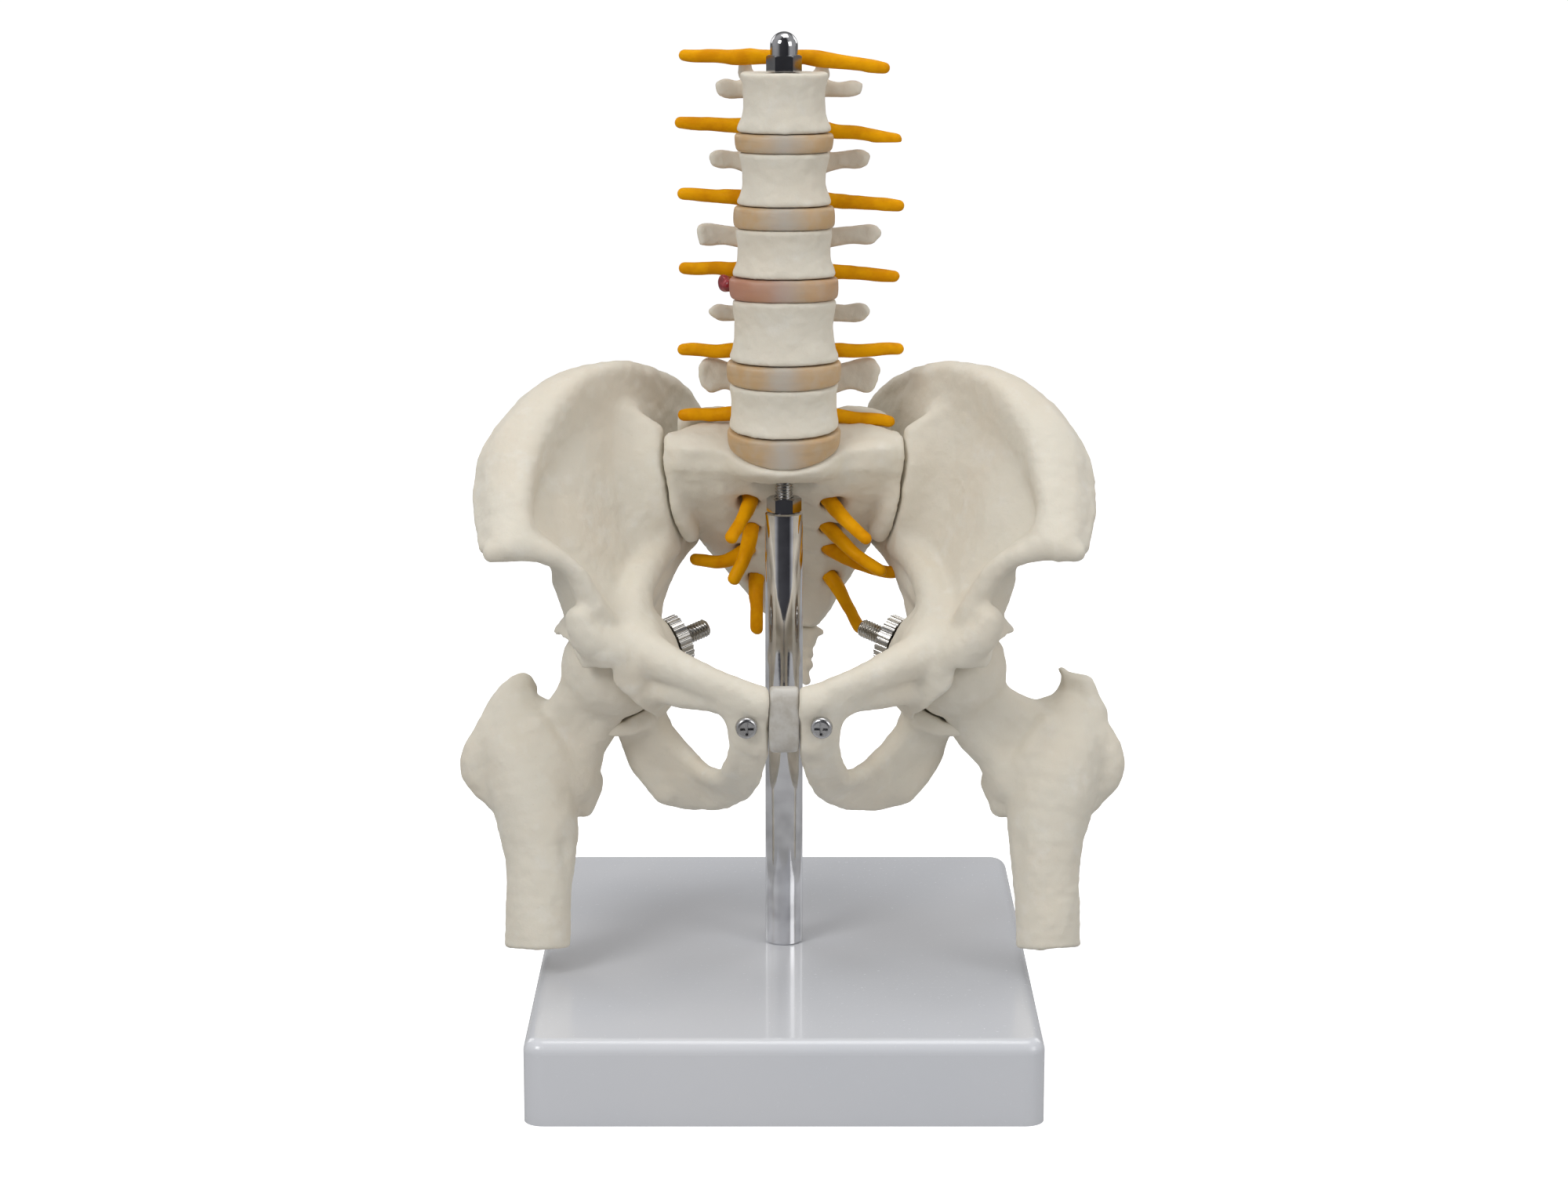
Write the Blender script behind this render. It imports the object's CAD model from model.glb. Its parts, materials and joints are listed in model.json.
"""Looks for a half-life-size lumbar spine and pelvis teaching model on a chrome rod and a box base.

Sizes in the tables are millimetres, counted from the top of the stand rod in height.
"""
import json
import math

import bmesh
import bpy
import numpy as np
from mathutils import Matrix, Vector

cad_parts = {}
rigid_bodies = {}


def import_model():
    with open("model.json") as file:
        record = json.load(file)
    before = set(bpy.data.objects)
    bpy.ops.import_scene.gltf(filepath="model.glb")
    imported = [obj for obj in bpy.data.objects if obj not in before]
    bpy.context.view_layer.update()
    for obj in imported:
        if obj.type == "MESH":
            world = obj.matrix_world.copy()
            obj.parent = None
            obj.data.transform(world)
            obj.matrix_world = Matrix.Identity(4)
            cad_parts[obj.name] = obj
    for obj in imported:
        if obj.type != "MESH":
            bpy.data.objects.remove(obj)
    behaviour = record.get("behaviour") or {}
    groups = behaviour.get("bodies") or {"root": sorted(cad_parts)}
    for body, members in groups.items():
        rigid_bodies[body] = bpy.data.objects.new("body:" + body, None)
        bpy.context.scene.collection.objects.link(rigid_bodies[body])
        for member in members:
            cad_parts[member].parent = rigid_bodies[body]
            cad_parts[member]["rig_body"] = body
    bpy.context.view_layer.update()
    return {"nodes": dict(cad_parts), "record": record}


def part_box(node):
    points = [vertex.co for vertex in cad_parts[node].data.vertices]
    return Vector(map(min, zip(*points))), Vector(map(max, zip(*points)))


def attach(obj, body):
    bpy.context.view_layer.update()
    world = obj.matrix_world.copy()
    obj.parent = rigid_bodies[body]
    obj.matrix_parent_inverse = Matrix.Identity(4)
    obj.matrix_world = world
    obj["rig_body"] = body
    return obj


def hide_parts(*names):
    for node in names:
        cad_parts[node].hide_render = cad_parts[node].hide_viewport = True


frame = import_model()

import openvdb
from mathutils import Vector

bl_info = {
    "name": "Lumbar Pelvis Teaching Model",
    "version": (1, 0, 0),
    "blender": (4, 5, 0),
    "location": "3D View > Sidebar > Pelvis Model",
    "description": "Builds the bones, discs, nerves, stand and finishes of a spine and pelvis model",
    "category": "Object",
}

MM = 0.001
FAR = 4.0                                   # how far from a surface the clay still knows its distance
ROD_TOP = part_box("stand_rod")[1].z / MM
CAP_NUT_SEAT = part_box("cap_nut")[0].z / MM - ROD_TOP

HIP_CENTRE = (45.0, -14.0, -39.0)
HEAD_RADIUS = 13.5
SOCKET_RADIUS = 13.85
SOCKET_WALL = 4.6
STUD_AXIS = np.array((-0.86, 0.42, 0.29)) / np.linalg.norm((-0.86, 0.42, 0.29))
SACROILIAC = (33.0, 0.30, 0.08)             # half width between the joints, and their two slopes
CORD_Y = 12.6
CORD_RADIUS = 3.05
# where each screw's head sits in the left hip bone, and which way the screw goes
PUBIC_SCREW = ((9.6, -48.4, -46.6), (0.12, 1, 0.1))
SACROILIAC_SCREW = ((35.5, 31.5, 2.0), (-0.93, -0.36, 0.02))

# name, height, disc below, tilt of the bottom and top, widths bottom, waist and top, depth,
# reach, height and half height of the transverse processes, hang of the lower joint processes
VERTEBRAE = [
    ("L5", 12.0, 5.3, 11.0, 7.0, 29.6, 27.4, 29.2, 21.0, 24.4, 12.0, 5.6, 1.8),
    ("L4", 16.0, 5.9, 4.0, 0.0, 29.8, 25.8, 27.6, 20.4, 21.8, 10.8, 2.3, 2.6),
    ("L3", 12.7, 5.9, 0.0, 0.0, 28.2, 24.2, 26.0, 19.6, 24.6, 9.6, 2.3, 4.6),
    ("L2", 13.8, 5.9, 0.0, 0.0, 25.8, 21.6, 24.4, 18.8, 21.4, 10.8, 2.2, 3.6),
    ("L1", 15.6, 5.0, 0.0, 0.0, 25.4, 21.2, 23.6, 18.0, 19.6, 10.4, 2.1, 3.4),
]
# how fat and how blunt each transverse process is, right side then left
PROCESS_SHAPES = {
    "L5": ((1.0, 0.6), (1.0, 0.5)),
    "L4": ((0.8, 0.2), (1.0, 0.2)),
    "L3": ((1.3, 1.0), (1.1, 0.25)),
    "L2": ((1.0, 0.7), (1.05, 0.6)),
    "L1": ((1.15, 0.7), (0.8, 0.6)),
}
NERVE_TIPS = {
    "L5": (-28.3, -0.6, 29.6, -2.4),
    "L4": (-28.3, 0.4, 31.8, 0.6),
    "L3": (-27.9, 0.2, 30.6, -2.0),
    "L2": (-28.2, 1.2, 31.8, -2.0),
    "L1": (-28.7, 1.0, 31.0, -3.4),
    "T12": (-27.6, 0.5, 27.8, -2.8),
}
SACRAL_ROOTS = {
    "S1": (
        [(-9.0, 14.0, 4.0), (-9.2, 8.5, 0.8), (-11.2, 3.0, -2.8), (-14.0, 0.0, -6.8)],
        [(9.5, 14.0, 4.0), (12.8, 8.5, 0.4), (16.8, 3.0, -3.2), (21.4, 0.0, -7.2)],
    ),
    "S2": (
        [(-8.6, 20.0, -4.6), (-9.4, 15.0, -9.4), (-11.6, 10.5, -14.8), (-14.8, 9.0, -20.0)],
        [(8.8, 20.0, -4.6), (13.0, 15.5, -8.5), (18.5, 10.5, -13.5), (24.6, 8.0, -17.4)],
    ),
    "S3": (
        [(-8.4, 27.5, -12.2), (-12.0, 21.5, -15.2), (-18.0, 18.5, -17.2), (-24.8, 18.0, -16.4)],
        [
            (8.4, 27.5, -12.2),
            (13.0, 21.5, -15.0),
            (20.0, 17.5, -17.8),
            (28.0, 16.5, -19.6),
            (35.0, 18.0, -16.8),
        ],
    ),
    "S4": (
        [(-8.0, 33.0, -20.6), (-9.6, 28.0, -25.0), (-10.2, 25.0, -31.0), (-11.0, 24.0, -36.8)],
        [(8.0, 33.0, -20.6), (12.0, 28.0, -25.0), (14.6, 25.0, -30.5), (17.0, 24.0, -36.4)],
    ),
}


# ---------------------------------------------------------------- clay: bones modelled on a grid
def through(points, parts):
    """Points on a smooth line through rows of numbers, each stretch divided into parts."""
    points = np.asarray(points, float)
    if len(points) == 1:
        return points
    ahead = np.concatenate([points[:1] * 2 - points[1:2], points, points[-1:] * 2 - points[-2:-1]])
    made = []
    for i, count in enumerate(parts):
        t = (np.arange(count) / count).reshape((-1,) + (1,) * (points.ndim - 1))
        a, b, c, d = ahead[i : i + 4]
        made.append(
            0.5 * (2 * b + (c - a) * t + (2 * a - 5 * b + 4 * c - d) * t**2 + (3 * b - a - 3 * c + d) * t**3)
        )
    return np.concatenate(made + [points[-1:]])


def steps(points, pitch):
    """How many parts each stretch needs so that the balls on it are pitch apart."""
    lengths = np.linalg.norm(np.diff(points[..., :3], axis=0), axis=-1)
    lengths = lengths if lengths.ndim == 1 else lengths.max(axis=1)
    return np.maximum(1, np.ceil(lengths / pitch)).astype(int)


def woven(rows, pitch):
    """Balls over a curved sheet given as rows of (x, y, z, radius), or along one row of them."""
    rows = np.asarray(rows, float)
    if rows.ndim == 2:
        return through(rows, steps(rows, pitch))
    rows = through(rows, steps(rows, pitch))
    across = rows.transpose(1, 0, 2)
    return through(across, steps(across, pitch)).reshape(-1, 4)


def soft_least(a, b, blend):
    """The smaller of two distances, with a fillet of about blend between the two surfaces."""
    if blend <= 0:
        return np.minimum(a, b)
    h = np.clip(0.5 + 0.5 * (b - a) / blend, 0, 1)
    return b + (a - b) * h - blend * h * (1 - h)


def soft_most(a, b, blend):
    return -soft_least(-a, -b, blend)


def blurred(field, times):
    """The field with its small corners rounded."""
    for _ in range(times):
        for axis in range(3):
            body = [slice(None)] * 3
            low, mid, high = list(body), list(body), list(body)
            low[axis], mid[axis], high[axis] = slice(0, -2), slice(1, -1), slice(2, None)
            new = field.copy()
            new[tuple(mid)] = 0.25 * field[tuple(low)] + 0.5 * field[tuple(mid)] + 0.25 * field[tuple(high)]
            field = new
    return field


class Clay:
    """A block of modelling clay: a grid of distances to the surface, in millimetres."""

    def __init__(self, low, high, grain):
        self.low = np.array(low, float)
        self.grain = grain
        self.count = np.ceil((np.array(high) - self.low) / grain).astype(int) + 1
        self.depth = np.full(self.count, FAR, np.float32)

    def window(self, low, high):
        """The part of the grid between two corners: its slices and its x, y and z."""
        a = np.clip(np.floor((np.asarray(low) - self.low) / self.grain).astype(int), 0, self.count - 1)
        b = np.clip(np.ceil((np.asarray(high) - self.low) / self.grain).astype(int) + 1, a + 1, self.count)
        part = tuple(slice(i, j) for i, j in zip(a, b))
        axes = [self.low[i] + self.grain * np.arange(a[i], b[i]) for i in range(3)]
        x, y, z = np.meshgrid(*axes, indexing="ij", sparse=True)
        return part, x.astype(np.float32), y.astype(np.float32), z.astype(np.float32)

    def everywhere(self):
        return self.window(self.low, self.low + self.grain * (self.count - 1))

    def balls(self, beads, reach):
        """Distances to the nearest of many balls, as far as reach from them."""
        r = beads[:, 3].max() + reach
        part, x, y, z = self.window(beads[:, :3].min(0) - r, beads[:, :3].max(0) + r)
        xs, ys, zs = x.ravel(), y.ravel(), z.ravel()
        field = np.full((len(xs), len(ys), len(zs)), FAR, np.float32)
        for px, py, pz, pr in beads:
            b = pr + reach
            i0, i1 = np.searchsorted(xs, (px - b, px + b))
            j0, j1 = np.searchsorted(ys, (py - b, py + b))
            k0, k1 = np.searchsorted(zs, (pz - b, pz + b))
            if i0 == i1 or j0 == j1 or k0 == k1:
                continue
            near = (xs[i0:i1, None, None] - px) ** 2 + (ys[None, j0:j1, None] - py) ** 2
            near = np.sqrt(near + (zs[None, None, k0:k1] - pz) ** 2) - pr
            here = field[i0:i1, j0:j1, k0:k1]
            np.minimum(here, near, out=here)
        return part, field

    def add(self, rows, blend=1.5, pitch=None):
        """Lays on clay along a line or over a sheet of (x, y, z, radius)."""
        beads = woven(rows, pitch or max(0.45, 0.4 * np.asarray(rows)[..., 3].min()))
        part, field = self.balls(beads, 3.2)
        self.depth[part] = soft_least(self.depth[part], field, blend)

    def dig(self, rows, blend=0.6):
        """Takes clay away along a line or over a sheet of (x, y, z, radius)."""
        beads = woven(rows, max(0.45, 0.35 * np.asarray(rows)[..., 3].min()))
        part, field = self.balls(beads, 3.2)
        self.depth[part] = soft_most(self.depth[part], -field, blend)

    def lay(self, part, field, blend=1.5):
        self.depth[part] = soft_least(self.depth[part], np.clip(field, -FAR, FAR), blend)

    def slice_off(self, point, outwards, blend=0.4, within=None):
        """Takes away everything on the outwards side of a plane, where within is positive."""
        _, x, y, z = self.everywhere()
        n = np.asarray(outwards, float) / np.linalg.norm(outwards)
        side = (x - point[0]) * n[0] + (y - point[1]) * n[1] + (z - point[2]) * n[2]
        if within is not None:
            side = np.minimum(side, within(x, y, z))
        self.depth = soft_most(self.depth, side.astype(np.float32), blend)

    def bore(self, start, axis, radius, length, blend=0.3):
        """Takes away a round hole from start along axis."""
        _, x, y, z = self.everywhere()
        n = np.asarray(axis, float) / np.linalg.norm(axis)
        dx, dy, dz = x - start[0], y - start[1], z - start[2]
        along = dx * n[0] + dy * n[1] + dz * n[2]
        out = np.sqrt(np.maximum(dx**2 + dy**2 + dz**2 - along**2, 0)) - radius
        hole = np.maximum(np.maximum(out, -along), along - length)
        self.depth = soft_most(self.depth, -hole.astype(np.float32), blend)

    def at(self, field, points):
        """The field's value at each point, between the grid's points."""
        where = (points - self.low) / self.grain
        cell = np.clip(np.floor(where).astype(int), 0, self.count - 2)
        f = where - cell
        i, j, k = cell.T
        u, v, w = f.T
        total = 0
        for di, wi in ((0, 1 - u), (1, u)):
            for dj, wj in ((0, 1 - v), (1, v)):
                for dk, wk in ((0, 1 - w), (1, w)):
                    total = total + field[i + di, j + dj, k + dk] * (wi * wj * wk)
        return total

    def mesh(self, name, smooth=2, rough=(), seed=1, side=1, bend=None, flat_ends=False):
        """The clay's surface as a mesh piece. Rough gives (size, height) of the lumps on it."""
        field = blurred(self.depth, smooth)
        grid = openvdb.FloatGrid(FAR)
        grid.copyFromArray(field)
        points, quads = grid.convertToQuads(0.0)
        points = points.astype(float) * self.grain + self.low
        hollow = self.at(blurred(field, max(2, int(round(1.4 / self.grain**2)))), points)
        normals = surface_normals(points, quads)
        share = 0.7 + 0.9 * np.clip(hollow, 0, 1)
        if flat_ends:
            share = share * np.interp(np.abs(normals[:, 2]), (0.75, 0.95), (1.0, 0.12))
        for number, (size, height) in enumerate(rough):
            lift = height * (lumps(points / size, seed + number) - 0.5) * 2 * share
            points = points + normals * lift[:, None]
        if bend:
            points = bend(points)
        points[:, 0] *= side
        points[:, 2] += ROD_TOP
        if side < 0:
            quads = quads[:, ::-1]
        return make_piece(name, points * MM, quads, {"hollow": hollow})


def surface_normals(points, quads):
    a, b, c, d = (points[quads[:, i]] for i in range(4))
    faces = np.cross(c - a, d - b)
    normals = np.zeros_like(points)
    for i in range(4):
        np.add.at(normals, quads[:, i], faces)
    return normals / np.maximum(np.linalg.norm(normals, axis=1), 1e-9)[:, None]


def lumps(points, seed):
    """Smooth random lumps between 0 and 1, about one to each unit of length."""
    table = np.random.default_rng(seed).random((32, 32, 32))
    cell = np.floor(points).astype(int)
    f = points - cell
    f = f * f * (3 - 2 * f)
    total = 0
    for di in (0, 1):
        for dj in (0, 1):
            for dk in (0, 1):
                share = (
                    (f[:, 0] if di else 1 - f[:, 0])
                    * (f[:, 1] if dj else 1 - f[:, 1])
                    * (f[:, 2] if dk else 1 - f[:, 2])
                )
                i, j, k = ((cell + (di, dj, dk)) % 32).T
                total = total + share * table[i, j, k]
    return total


def make_piece(name, points, faces, layers=None):
    """A smooth-shaded mesh object from arrays of points and four-sided faces."""
    a, b, c, d = (points[faces[:, i]] for i in range(4))
    middle = (a + b + c + d) / 4
    if (middle * np.cross(c - a, d - b)).sum() < 0:
        faces = faces[:, ::-1]
    mesh = bpy.data.meshes.new(name)
    mesh.vertices.add(len(points))
    mesh.vertices.foreach_set("co", points.astype(np.float32).ravel())
    mesh.loops.add(faces.size)
    mesh.loops.foreach_set("vertex_index", np.ascontiguousarray(faces, np.int32).ravel())
    mesh.polygons.add(len(faces))
    mesh.polygons.foreach_set("loop_start", np.arange(0, faces.size, 4, dtype=np.int32))
    mesh.update(calc_edges=True)
    mesh.validate()
    mesh.shade_smooth()
    for layer, values in (layers or {}).items():
        attribute = mesh.attributes.new(layer, "FLOAT", "POINT")
        attribute.data.foreach_set("value", np.asarray(values, np.float32))
    piece = bpy.data.objects.new(name, mesh)
    bpy.context.scene.collection.objects.link(piece)
    return piece


def paint(piece, layer, shade):
    """Keeps a number on each of a piece's points, worked out from its place in millimetres."""
    places = np.zeros(len(piece.data.vertices) * 3, np.float32)
    piece.data.vertices.foreach_get("co", places)
    attribute = piece.data.attributes.new(layer, "FLOAT", "POINT")
    attribute.data.foreach_set("value", shade(places.reshape(-1, 3) / MM).astype(np.float32))


def threaded(name, start, end, radius, pitch=0.8):
    """A threaded rod between two points, with chamfered ends, in millimetres."""
    start, end = np.array(start, float), np.array(end, float)
    length = np.linalg.norm(end - start)
    along = (end - start) / length
    across = np.cross(along, (0.0, 0.6, 0.8) if abs(along[2]) < 0.9 else (1.0, 0.0, 0.0))
    across /= np.linalg.norm(across)
    upward = np.cross(along, across)
    around = 28
    steps_up = int(length / pitch * 6)
    t = np.linspace(0, length, steps_up + 1)[:, None]
    turn = np.linspace(0, 2 * math.pi, around, endpoint=False)[None, :]
    phase = (t / pitch - turn / (2 * math.pi)) % 1.0
    r = radius - 0.42 * np.abs(2 * phase - 1)
    end_gap = np.minimum(t, length - t)
    r = np.minimum(r, radius - 0.7 + end_gap)[..., None]
    outward = across * np.cos(turn)[..., None] + upward * np.sin(turn)[..., None]
    points = start + along * t[..., None] + r * outward
    i, j = np.meshgrid(np.arange(steps_up), np.arange(around), indexing="ij")
    k = (j + 1) % around
    corners = (i * around + j, i * around + k, (i + 1) * around + k, (i + 1) * around + j)
    faces = np.stack(corners, -1).reshape(-1, 4)
    points = points.reshape(-1, 3)
    points[:, 2] += ROD_TOP
    piece = make_piece(name, points * MM, faces)
    shape = bmesh.new()
    shape.from_mesh(piece.data)
    bmesh.ops.holes_fill(shape, edges=[edge for edge in shape.edges if edge.is_boundary])
    shape.to_mesh(piece.data)
    shape.free()
    piece.data.set_sharp_from_angle(angle=math.radians(50))
    return piece


def settle(piece, node, finish):
    """Puts a piece on its node's body, in that node's place, with its material."""
    piece.data.materials.clear()
    piece.data.materials.append(finish)
    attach(piece, frame["nodes"][node]["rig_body"])
    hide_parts(node)
    return piece


# ---------------------------------------------------------------- shader expressions
class Wire:
    """A value on its way between shader nodes, for writing sums as plain expressions."""

    def __init__(self, board, socket):
        self.board = board
        self.socket = socket

    def sum(self, operation, a, b=0.0):
        return self.board.node("ShaderNodeMath", {"operation": operation}, {0: a, 1: b})

    def __add__(self, other):
        return self.sum("ADD", self, other)

    def __sub__(self, other):
        return self.sum("SUBTRACT", self, other)

    def __rsub__(self, other):
        return self.sum("SUBTRACT", other, self)

    def __mul__(self, other):
        return self.sum("MULTIPLY", self, other)

    def __truediv__(self, other):
        return self.sum("DIVIDE", self, other)

    def __pow__(self, other):
        return self.sum("POWER", self, other)

    __radd__ = __add__
    __rmul__ = __mul__

    def band(self, low, high):
        """0 below low, 1 above high, with a smooth rise between."""
        return self.board.node(
            "ShaderNodeMapRange",
            {"interpolation_type": "SMOOTHSTEP"},
            {"Value": self, "From Min": low, "From Max": high},
            "Result",
        )


class Board:
    """A tree of shader nodes being wired."""

    def __init__(self, tree):
        self.tree = tree

    def node(self, kind, settings, inputs, output=0):
        made = self.tree.nodes.new(kind)
        for setting, value in settings.items():
            if setting == "stops":
                self.set_stops(made.color_ramp, value)
            else:
                setattr(made, setting, value)
        for socket, value in inputs.items():
            if isinstance(value, Wire):
                self.tree.links.new(value.socket, made.inputs[socket])
            else:
                made.inputs[socket].default_value = value
        return Wire(self, made.outputs[output])

    @staticmethod
    def set_stops(ramp, stops):
        while len(ramp.elements) < len(stops):
            ramp.elements.new(0.5)
        for element, (place, colour) in zip(ramp.elements, stops):
            element.position = place
            element.color = (*colour, 1.0)

    def mix(self, share, a, b):
        """Colour a turned towards colour b by share."""
        a = (*a, 1.0) if isinstance(a, tuple) and len(a) == 3 else a
        b = (*b, 1.0) if isinstance(b, tuple) and len(b) == 3 else b
        return self.node("ShaderNodeMix", {"data_type": "RGBA"}, {0: share, 6: a, 7: b}, 2)


class Finish(Board):
    """A material being made: one principled shader and the nodes that feed it."""

    def __init__(self, name, **constants):
        self.material = bpy.data.materials.new(name + "_finish")
        self.material.use_nodes = True
        super().__init__(self.material.node_tree)
        self.shader = self.tree.nodes["Principled BSDF"]
        for socket, value in constants.items():
            self.shader.inputs[socket.replace("_", " ")].default_value = value

    def place(self):
        return self.node("ShaderNodeTexCoord", {}, {}, "Object")

    def layer(self, name):
        return self.node("ShaderNodeAttribute", {"attribute_name": name}, {}, "Fac")

    def noise(self, size_mm, detail=3.0, roughness=0.55, stretch=None):
        where = self.place()
        if stretch:
            where = self.node("ShaderNodeMapping", {}, {"Vector": where, "Scale": stretch})
        return self.node(
            "ShaderNodeTexNoise",
            {},
            {"Vector": where, "Scale": 1000.0 / size_mm, "Detail": detail, "Roughness": roughness},
            "Fac",
        )

    def bump(self, height, strength, distance_mm, under=None):
        inputs = {"Strength": strength, "Distance": distance_mm * MM, "Height": height}
        if under:
            inputs["Normal"] = under
        return self.node("ShaderNodeBump", {}, inputs, "Normal")

    def feed(self, **wires):
        for socket, wire in wires.items():
            self.tree.links.new(wire.socket, self.shader.inputs[socket.replace("_", " ")])
        return self.material


def bone_finish(colours):
    finish = Finish("bone_plastic", Subsurface_Weight=0.06, Subsurface_Scale=0.002, Specular_IOR_Level=0.3)
    finish.shader.inputs["Subsurface Radius"].default_value = (1.0, 0.62, 0.42)
    tone = finish.noise(26.0, 2.0)
    patch = finish.noise(7.0, 4.0, 0.6)
    speck = finish.noise(0.9, 3.0, 0.7)
    hollow = finish.layer("hollow")
    colour = finish.mix(tone.band(0.38, 0.66), tuple(colours.bone), tuple(colours.bone_warm))
    colour = finish.mix(patch.band(0.52, 0.75) * 0.55, colour, tuple(colours.bone_pale))
    deep = (0.0 - hollow).band(0.05, 0.75)
    colour = finish.mix(deep * 0.36, colour, tuple(colours.bone_hollow))
    worn = hollow.band(0.35, 1.1)
    colour = finish.mix(worn * 0.3, colour, tuple(colours.bone_pale))
    colour = finish.mix(speck.band(0.62, 0.8) * 0.28, colour, tuple(colours.bone_hollow))
    rough = 0.5 + patch * 0.16 - worn * 0.08 + deep * 0.1
    pores = finish.bump(speck, 0.3, 0.16)
    grain = finish.bump(finish.noise(2.6, 4.0, 0.65), 0.34, 0.42, pores)
    return finish.feed(Base_Color=colour, Roughness=rough, Normal=grain)


def disc_finish(name, colours, stain=None):
    finish = Finish(name, Subsurface_Weight=0.25, Subsurface_Scale=0.003, Specular_IOR_Level=0.5)
    finish.shader.inputs["Subsurface Radius"].default_value = (1.0, 0.6, 0.35)
    cloud = finish.noise(5.0, 3.0)
    rings = finish.noise(1.4, 2.0, 0.5, (0.12, 0.12, 1.0))
    colour = finish.mix(cloud.band(0.35, 0.7), tuple(colours.disc), tuple(colours.disc_grey))
    colour = finish.mix(rings.band(0.5, 0.75) * 0.35, colour, tuple(colours.disc_dark))
    colour = finish.mix(finish.layer("middle") * 0.75, colour, tuple(colours.disc_middle))
    if stain:
        colour = finish.mix(finish.layer("stain"), colour, tuple(stain))
    rough = 0.36 + cloud * 0.16
    skin = finish.bump(rings, 0.25, 0.25)
    return finish.feed(Base_Color=colour, Roughness=rough, Normal=skin)


def nerve_finish(colours):
    finish = Finish("nerve_plastic", Subsurface_Weight=0.1, Subsurface_Scale=0.001, Specular_IOR_Level=0.04)
    finish.shader.inputs["Subsurface Radius"].default_value = (1.0, 0.5, 0.1)
    cloud = finish.noise(6.0, 3.0)
    hollow = finish.layer("hollow")
    colour = finish.mix(cloud.band(0.35, 0.7), tuple(colours.nerve), tuple(colours.nerve_deep))
    colour = finish.mix((0.0 - hollow).band(-0.1, 0.5) * 0.7, colour, tuple(colours.nerve_deep))
    rough = 0.3 + cloud * 0.12
    skin = finish.bump(finish.noise(1.6, 3.0), 0.22, 0.3)
    return finish.feed(Base_Color=colour, Roughness=rough, Normal=skin)


def red_finish(colours):
    finish = Finish("red_plastic", Subsurface_Weight=0.1, Subsurface_Scale=0.001, Coat_Weight=0.4)
    cloud = finish.noise(1.8, 3.0)
    colour = finish.mix(cloud.band(0.35, 0.65), tuple(colours.red), tuple(colours.red_dark))
    rough = 0.22 + cloud * 0.16
    return finish.feed(Base_Color=colour, Roughness=rough, Normal=finish.bump(cloud, 0.3, 0.3))


def clear_finish(colours):
    finish = Finish("clear_plastic", Subsurface_Weight=0.5, Subsurface_Scale=0.004, Specular_IOR_Level=0.5)
    finish.shader.inputs["Subsurface Radius"].default_value = (1.0, 0.95, 0.85)
    cloud = finish.noise(3.0, 3.0)
    colour = finish.mix(cloud.band(0.35, 0.7), tuple(colours.clear), tuple(colours.clear_dark))
    rough = 0.3 + cloud * 0.12
    return finish.feed(Base_Color=colour, Roughness=rough, Normal=finish.bump(cloud, 0.2, 0.2))


def metal_finish(name, colour, dark, rough, streak=(1.0, 1.0, 1.0), smear=0.06, bump=0.02):
    """Plated steel with faint handling marks."""
    finish = Finish(name, Metallic=1.0)
    marks = finish.noise(1.2, 4.0, 0.65, streak)
    cloud = finish.noise(9.0, 2.0)
    shade = finish.mix(cloud.band(0.35, 0.75), tuple(colour), tuple(dark))
    surface = rough + marks.band(0.45, 0.8) * smear
    return finish.feed(Base_Color=shade, Roughness=surface, Normal=finish.bump(marks, 0.15, bump))


def base_finish(colours):
    finish = Finish("base_plastic", Specular_IOR_Level=0.5, Coat_Roughness=0.06)
    cloud = finish.noise(70.0, 2.0)
    dust = finish.noise(1.1, 4.0, 0.7)
    colour = finish.mix(cloud.band(0.35, 0.7), tuple(colours.base), tuple(colours.base_cool))
    colour = finish.mix(dust.band(0.66, 0.82) * 0.16, colour, tuple(colours.base_mark))
    rough = 0.2 + dust.band(0.5, 0.85) * 0.1 + cloud * 0.05
    ripple = finish.bump(finish.noise(22.0, 1.0), 0.10, 0.3)
    skin = finish.bump(dust, 0.05, 0.05, ripple)
    coat = 0.25 + cloud * 0.15
    return finish.feed(Base_Color=colour, Roughness=rough, Normal=skin, Coat_Weight=coat)


def cover_finish(colours):
    finish = Finish("cover_plastic", Specular_IOR_Level=0.4)
    sand = finish.noise(0.5, 3.0, 0.7)
    cloud = finish.noise(40.0, 2.0)
    colour = finish.mix(cloud.band(0.35, 0.7), tuple(colours.base), tuple(colours.base_mark))
    rough = 0.55 + sand * 0.2
    return finish.feed(Base_Color=colour, Roughness=rough, Normal=finish.bump(sand, 0.3, 0.1))


def finish_for(key):
    """Each material is made once and then shared. The part's own plain colours keep their names."""
    made = bpy.data.materials.get(key + "_finish")
    if made:
        return made
    colours = bpy.context.scene.pelvis_colours
    makers = {
        "bone_plastic": lambda: bone_finish(colours),
        "disc_plastic": lambda: disc_finish("disc_plastic", colours),
        "stained_disc": lambda: disc_finish("stained_disc", colours, colours.disc_stain),
        "nerve_plastic": lambda: nerve_finish(colours),
        "red_plastic": lambda: red_finish(colours),
        "clear_plastic": lambda: clear_finish(colours),
        "chrome_plate": lambda: metal_finish("chrome_plate", colours.chrome, colours.chrome_dark, 0.07),
        "bright_nut": lambda: metal_finish("bright_nut", colours.nut, colours.chrome_dark, 0.1, bump=0.01),
        "zinc_steel": lambda: metal_finish("zinc_steel", colours.steel, colours.steel_dark, 0.24),
        "nickel_steel": lambda: metal_finish("nickel_steel", colours.nickel, colours.steel_dark, 0.22),
        "screw_steel": lambda: metal_finish("screw_steel", colours.steel, colours.steel_dark, 0.26),
        "base_plastic": lambda: base_finish(colours),
        "cover_plastic": lambda: cover_finish(colours),
    }
    return makers[key]()


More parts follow.
